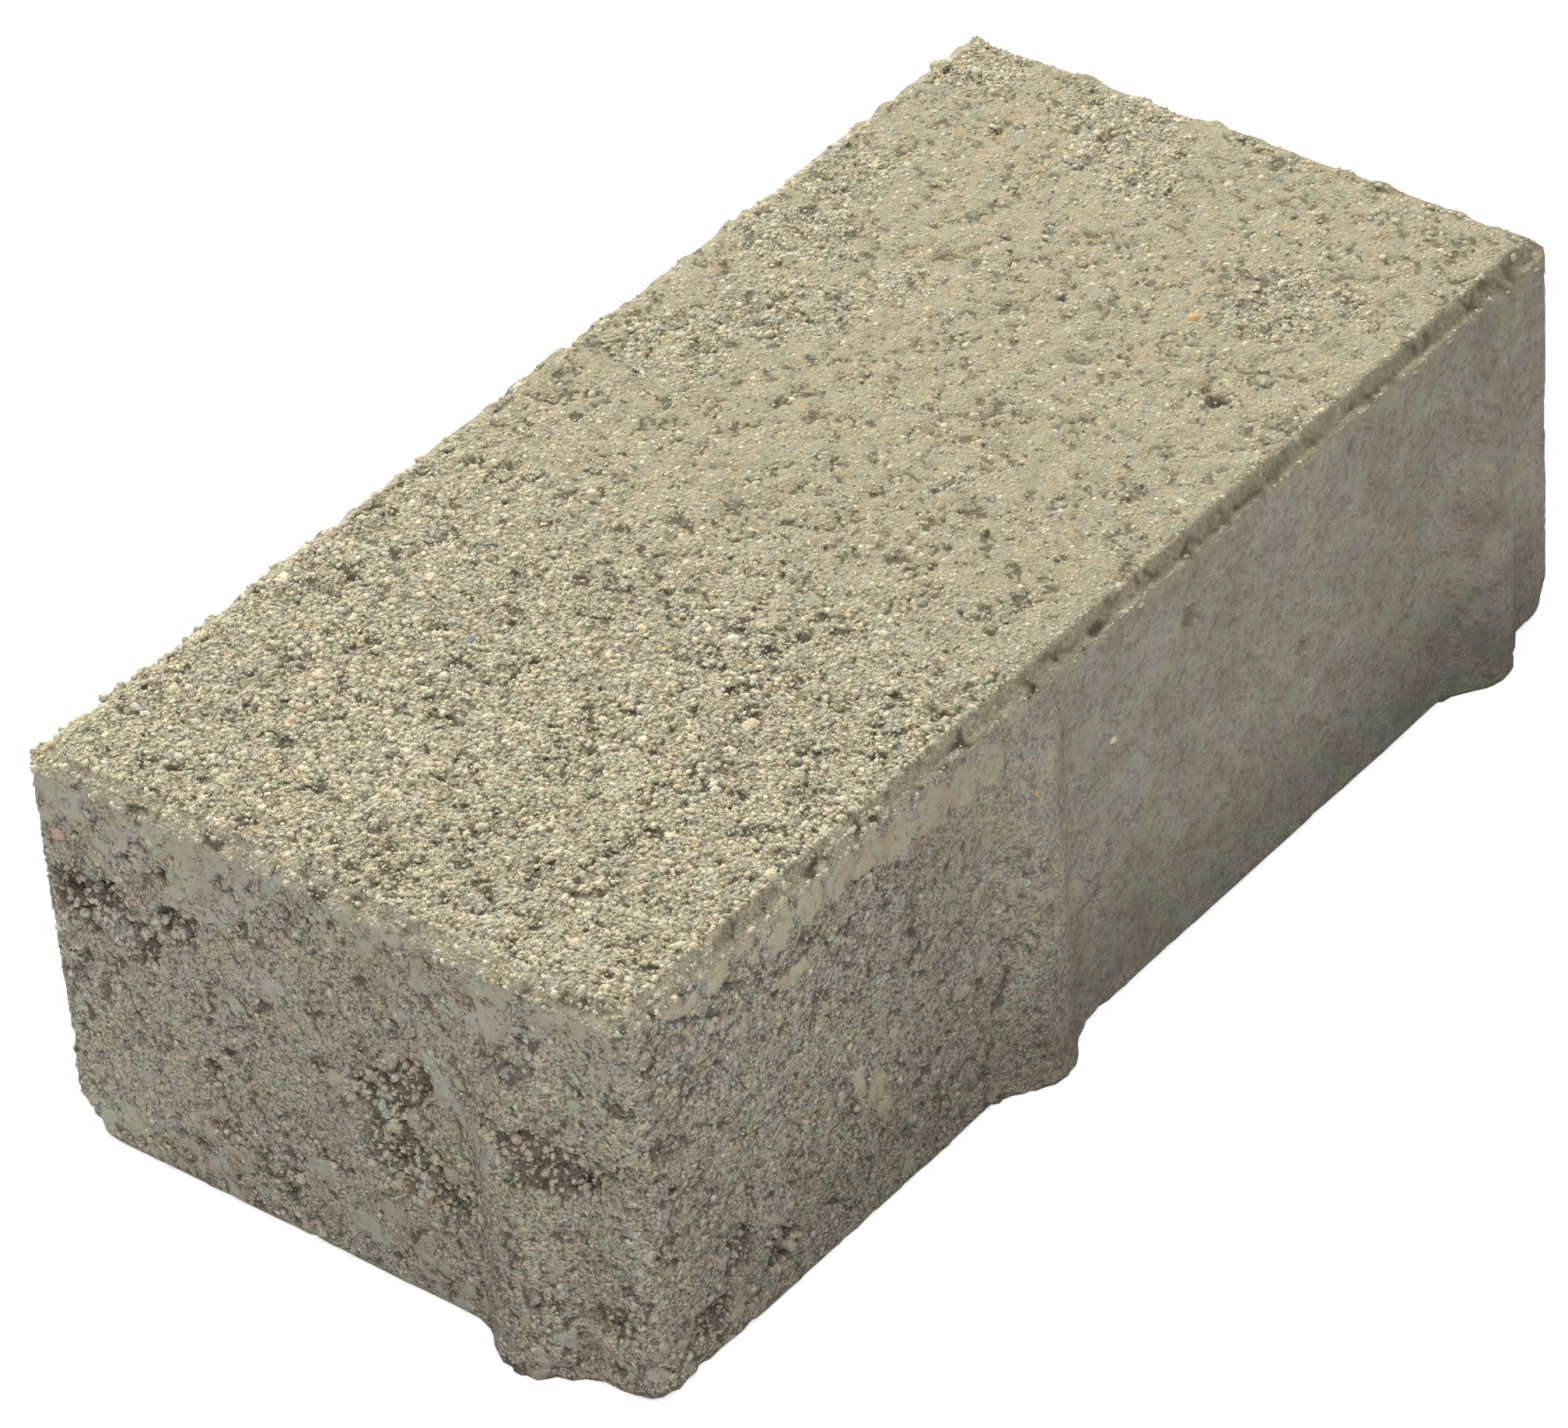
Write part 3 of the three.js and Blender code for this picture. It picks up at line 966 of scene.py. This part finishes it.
def concrete():
    """The casting: grit in khaki paste on the wearing face, grey-brown film and grit on the sides, with
    painted shade in their gaps, crevices, groove and pits.
    """
    t = Tree("concrete")
    place = mineral_place(t)
    along = axes(t, place)[0]
    wearing, rim, painted_cavity_shade = (t.field(name) for name in ("wearing", "rim", "painted_cavity_shade"))
    gritty, lively, calm = (t.field(name) for name in ("gritty", "lively", "calm"))

    grains = t.node("ShaderNodeTexVoronoi", {"Vector": place, "Scale": 2.1})
    edge = t.ramp(grains.outputs["Distance"], 0.30, 0.72)
    grit = fractal(t, place, 1.3, 4.0, 0.7)
    fine = fractal(t, place, 0.8, 3.0, 0.6)
    torn = t.math("SUBTRACT", t.math("MULTIPLY_ADD", fine, 0.9, gritty), 0.45)
    gritty = t.ramp(torn, 0.3, 0.7)
    rough_share = t.math("MAXIMUM", t.math("MULTIPLY_ADD", gritty, 0.8, 0.2), wearing)
    rough_share = t.math("MULTIPLY", rough_share, t.ramp(calm, 0.0, MOST_CALM, 1.0, 0.5))
    height = t.math("MULTIPLY_ADD", grit, 0.5, t.math("MULTIPLY", edge, -0.14))
    height = t.math("MULTIPLY", height, rough_share)

    # Sides: film, in blotches where it isn't lively, and specks where it is gritty
    film, hues = side_tone(t, place)
    closed = t.math("MULTIPLY", t.ramp(gritty, 0.4, 0.1), t.ramp(lively, 0.2, 0.6))
    tint = t.mix(t.ramp(along, -93, -97), CLOSED_FACTOR, CLOSED_END_FACTOR)
    film = t.mix(closed, film, t.times(film, tint))
    stains = t.ramp(fractal(t, place, 0.3, 4.0, 0.65), 0.35, 0.65, 0.79, 1.0)
    blotches = t.ramp(fractal(t, place, 0.11, 2.0), 0.36, 0.64, 0.93, 1.06)
    stained = t.times(film, t.math("MULTIPLY", stains, blotches))
    film = t.mix(t.ramp(lively, 0.9, 0.2), film, stained)
    parts = t.node("ShaderNodeSeparateColor", grains.outputs["Color"]).outputs
    speck = t.mix(t.ramp(parts[0], 0.0, 1.0), t.times(hues, DARK_SPECK), t.times(hues, LIGHT_SPECK))
    speck = t.mix(t.ramp(parts[1], 0.70, 0.98, 0.0, 0.6), speck, SPECK_PINK)
    speck = t.mix(t.ramp(parts[2], 0.70, 0.98, 0.0, 0.6), speck, SPECK_GREEN)
    side = t.mix(t.math("MULTIPLY", gritty, t.ramp(lively, 0.2, 1.0, 0.35, 0.85)), film, speck)
    # Painted shade in the gaps between specks, in cracks and in the film's holes
    gap = t.math("MULTIPLY", edge, t.ramp(grit, 0.62, 0.42, 0.0, 0.85))
    gap = t.math("MULTIPLY", t.math("MULTIPLY", gap, gritty), t.ramp(lively, 0.2, 1.0, 0.30, 0.9))
    crack_shade = t.math("MULTIPLY", t.ramp(grit, 0.41, 0.32), t.ramp(lively, 0.2, 1.0, 0.35, 0.8))
    crack_shade = t.math("MAXIMUM", crack_shade, t.ramp(t.field("crevice"), 0.15, 0.8, 0.0, 0.7))
    side = t.mix(t.math("MAXIMUM", gap, crack_shade), side, SIDE_GAP_SHADE)

    # Wearing face: painted shade in its gaps, crevices and along the rim's groove, softer where the
    # grain is calm and far from the near end
    top = top_tone(t, place, grains.outputs["Color"])
    gap = t.math("MULTIPLY", t.ramp(grit, 0.60, 0.40), t.ramp(rim, 0.0, 0.7, 0.85, 0.35))
    gap = t.math("MULTIPLY", gap, t.ramp(calm, 0.0, MOST_CALM, 1.0, 0.55))
    deep = t.ramp(t.field("crevice"), 0.05, 0.7, 0.3, 0.95)
    deep = t.math("MULTIPLY", deep, t.ramp(calm, 0.0, MOST_CALM, 1.0, 0.85))
    far = t.ramp(along, -10, 35, 1.0, 0.85)
    painted_groove_shade = t.math("MULTIPLY", t.ramp(t.field("groove"), 0.2, 0.9), t.ramp(grit, 0.58, 0.42, 0.0, 0.5))
    top = t.mix(painted_groove_shade, top, GROOVE_SHADE)
    top = t.mix(t.math("MULTIPLY", t.math("MAXIMUM", gap, deep), far), top, TOP_GAP_SHADE)
    top = t.mix(t.ramp(calm, 0.0, MOST_CALM), top, t.times(top, CALM_FACTOR))

    tone = t.mix(wearing, side, top)
    # Painted shade in pits, hollows, seams and where mortar is missing
    tone = t.mix(t.ramp(painted_cavity_shade, 0.1, 0.9, 0.0, 0.65), tone, CAVITY_SHADE)
    return finish_material(t, tone, height)


def side_tone(t, place):
    """Cement film of the sides in its broad hues, and the same in smaller patches of more hues, both
    with painted light and shade over them.
    """
    broad = t.hues(place, 0.16, 2.0)
    tone = t.mix(t.ramp(broad[0], 0.38, 0.62), FILM, GREEN_FILM)
    tone = t.mix(t.ramp(broad[1], 0.45, 0.68, 0.0, 0.8), tone, BROWN_FILM)
    small = t.hues(place, 0.75, 2.0)
    hues = t.mix(t.ramp(small[0], 0.50, 0.66, 0.0, 0.75), tone, SPOT_PINK)
    hues = t.mix(t.ramp(small[1], 0.50, 0.66, 0.0, 0.75), hues, SPOT_GREEN)
    hues = t.mix(t.ramp(small[2], 0.47, 0.36, 0.0, 0.6), hues, SPOT_DARK)
    film = t.times(t.mix(0.6, tone, hues), FILM_FACTOR)
    # Painted light and shade: the long sides grow darker along the stone and towards the bed, where less
    # light reaches them. The near end grows a little lighter towards the bed.
    along, _, up = axes(t, place)
    level = t.math("SUBTRACT", t.ramp(along, -75, -35, 1.09, 0.97), t.ramp(along, 35, 80, 0.0, 0.15))
    level = t.math("SUBTRACT", level, t.ramp(along, -32, -8, 0.0, 0.07))
    foot = t.math("MULTIPLY", t.ramp(up, 5, 24, 0.26, 0.0), t.ramp(along, -97, -75))
    level = t.math("SUBTRACT", level, foot)
    end_foot = t.math("MULTIPLY", t.ramp(up, 8, 35, 0.05, 0.0), t.ramp(along, -93, -97))
    level = t.math("ADD", level, end_foot)
    return t.times(film, level), t.times(hues, level)


def side_lump_tone(t, place, own):
    """Grey-brown lumps of the sides, with the sides' painted light and shade."""
    _, hues = side_tone(t, place)
    parts = t.node("ShaderNodeSeparateColor", own).outputs
    tone = t.mix(parts[0], t.times(hues, DARK_LUMP), t.times(hues, LIGHT_LUMP))
    tone = t.mix(t.ramp(parts[1], 0.75, 0.98, 0.0, 0.35), tone, LUMP_PINK)
    return t.mix(t.ramp(parts[2], 0.70, 0.98, 0.0, 0.4), tone, LUMP_GREEN)


def lumpy(name, own_tone, shade):
    """Grains or lumps, each with a tone of its own."""
    t = Tree(name)
    place = mineral_place(t)
    tint = t.field("tint")
    own = t.node("ShaderNodeTexWhiteNoise", {"W": tint}, noise_dimensions="1D").outputs["Color"]
    grit = fractal(t, place, 1.7, 2.0, 0.6)
    tone = t.mix(t.ramp(grit, 0.46, 0.28, 0.0, 0.55), own_tone(t, place, own), shade)
    height = t.math("MULTIPLY", grit, t.ramp(axes(t, place)[0], -45, 25, 0.48, 0.28))
    return finish_material(t, tone, height)


def pebbly():
    """Single stones, each in one of PEBBLE_TONES."""
    t = Tree("pebbles")
    place = mineral_place(t)
    ramp = t.node("ShaderNodeValToRGB", t.field("tint"))
    stops = ramp.color_ramp
    stops.interpolation = "CONSTANT"
    while len(stops.elements) < len(PEBBLE_TONES):
        stops.elements.new(0.5)
    for index, tone in enumerate(PEBBLE_TONES):
        stops.elements[index].position = index / len(PEBBLE_TONES)
        stops.elements[index].color = colour(*tone)
    grit = fractal(t, place, 1.6, 4.0, 0.65)
    tone = t.mix(t.ramp(grit, 0.48, 0.32, 0.0, 0.45), ramp.outputs[0], PEBBLE_SHADE)
    return finish_material(t, tone, t.math("MULTIPLY", grit, 0.35))


# ---- stage, light, camera
FLOOR_HALF, FLOOR_CUT = 3.0, 1.0  # metres
OPENING_INSET, OPENING_CUT = 2.5, 4.0  # of the floor's opening under the stone, in millimetres
FLOOR_TONE, FLOOR_GLOW = 0.62, 0.68  # together the lit floor is seen as white
WORLD_STRENGTH = 0.34
LAMPS = [
    # name, azimuth, elevation, distance, size, power, tint
    ("key", 60, 42, 2.0, 0.6, 54.0, (1.0, 0.985, 0.965)),
    ("fill", 225, 56, 2.0, 0.8, 16.0, (1, 1, 1)),
]
# The camera as it was fitted to the edges of the stone in the photo, in metres and degrees
LENS, SENSOR = 172.69, 36
CAMERA_PLACE = (-0.594643, -0.502450, 0.616757)
CAMERA_TURN = (52.60939, 3.52767, -52.05411)


def eight_sided(x, y, cut):
    """A rectangle with cut corners, anticlockwise."""
    return [(cut - x, -y), (x - cut, -y), (x, cut - y), (x, y - cut),
            (x - cut, y), (cut - x, y), (-x, y - cut), (-x, cut - y)]


def make_floor():
    """A pale floor that looks white where it is lit. It is open under the stone and clear from below."""
    outer = eight_sided(FLOOR_HALF, FLOOR_HALF, FLOOR_CUT)
    half_x, half_y = HALF_LENGTH - OPENING_INSET, HALF_WIDTH - OPENING_INSET
    inner = eight_sided(half_x * MM, half_y * MM, OPENING_CUT * MM)
    mesh = bpy.data.meshes.new("floor")
    faces = [(i, (i + 1) % 8, (i + 1) % 8 + 8, i + 8) for i in range(8)]
    mesh.from_pydata([(x, y, 0) for x, y in outer + inner], [], faces)
    floor = new_object("floor", mesh)
    t = Tree("floor")
    camera_ray = t.node("ShaderNodeLightPath").outputs["Is Camera Ray"]
    matt = t.node("ShaderNodeBsdfDiffuse", (FLOOR_TONE,) * 3 + (1,))
    glow = t.node("ShaderNodeEmission", (1, 1, 1, 1), t.math("MULTIPLY", camera_ray, FLOOR_GLOW))
    seen = t.node("ShaderNodeAddShader", matt.outputs[0], glow.outputs[0])
    clear = t.node("ShaderNodeBsdfTransparent")
    backfacing = t.node("ShaderNodeNewGeometry").outputs["Backfacing"]
    both = t.node("ShaderNodeMixShader", backfacing, seen.outputs[0], clear.outputs[0])
    t.node("ShaderNodeOutputMaterial", both.outputs[0])
    mesh.materials.append(t.material)


def make_world():
    """Even pale light all round, seen as white."""
    world = bpy.data.worlds.new("world")
    bpy.context.scene.world = world
    world.use_nodes = True
    nodes, links = world.node_tree.nodes, world.node_tree.links
    nodes.clear()
    path = nodes.new("ShaderNodeLightPath")
    seen = path.outputs["Is Camera Ray"]
    for name in ("Is Glossy Ray", "Is Transmission Ray"):
        either = nodes.new("ShaderNodeMath")
        either.operation = "MAXIMUM"
        links.new(seen, either.inputs[0])
        links.new(path.outputs[name], either.inputs[1])
        seen = either.outputs[0]
    level = nodes.new("ShaderNodeMapRange")
    links.new(seen, level.inputs["Value"])
    level.inputs["To Min"].default_value = WORLD_STRENGTH
    level.inputs["To Max"].default_value = 1.0
    background = nodes.new("ShaderNodeBackground")
    background.inputs["Color"].default_value = (1, 1, 1, 1)
    links.new(level.outputs[0], background.inputs["Strength"])
    output = nodes.new("ShaderNodeOutputWorld")
    links.new(background.outputs[0], output.inputs["Surface"])


def make_lamp(name, azimuth, elevation, distance, size, power, tint):
    """A square soft lamp that faces the stone. azimuth is from +X towards +Y, in degrees."""
    light = bpy.data.lights.new(name, "AREA")
    light.size = size
    light.energy = power
    light.color = tint
    lamp = new_object(name, light)
    around_z, up = math.radians(azimuth), math.radians(elevation)
    level = math.cos(up)
    out = Vector((math.cos(around_z) * level, math.sin(around_z) * level, math.sin(up)))
    lamp.location = out * distance
    lamp.rotation_euler = out.to_track_quat("Z", "Y").to_euler()
    lamp.visible_camera = False


def make_camera():
    """The camera at the photo's viewing angle."""
    data = bpy.data.cameras.new("camera")
    data.sensor_width = SENSOR
    data.lens = LENS
    camera = new_object("camera", data)
    camera.location = CAMERA_PLACE
    camera.rotation_euler = [math.radians(angle) for angle in CAMERA_TURN]
    bpy.context.scene.camera = camera


make_camera()
make_world()
for lamp in LAMPS:
    make_lamp(*lamp)
make_floor()
bpy.context.scene.view_settings.view_transform = "Standard"

stone, surface = make_stone()
sand = make_sand(surface)
crumbs = make_crumbs(surface)
pebbles = make_pebbles(surface)
grit = make_grit(surface)
looks = (
    ((stone,), concrete()),
    (sand, lumpy("sand", top_tone, SAND_SHADE)),
    ((crumbs,), lumpy("crumbs", side_lump_tone, CRUMB_SHADE)),
    ((pebbles,), pebbly()),
    (grit, lumpy("grit", side_lump_tone, GRIT_SHADE)),
)
for alike, material in looks:
    for piece in alike:
        piece.data.materials.append(material)
for piece in (stone, *sand, *grit, crumbs, pebbles):
    if piece is not pebbles:
        flat_map(piece.data, lean=3.0 if piece is stone else 0.0, top_only=piece in sand)
    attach(piece, "root")
    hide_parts(NODE)
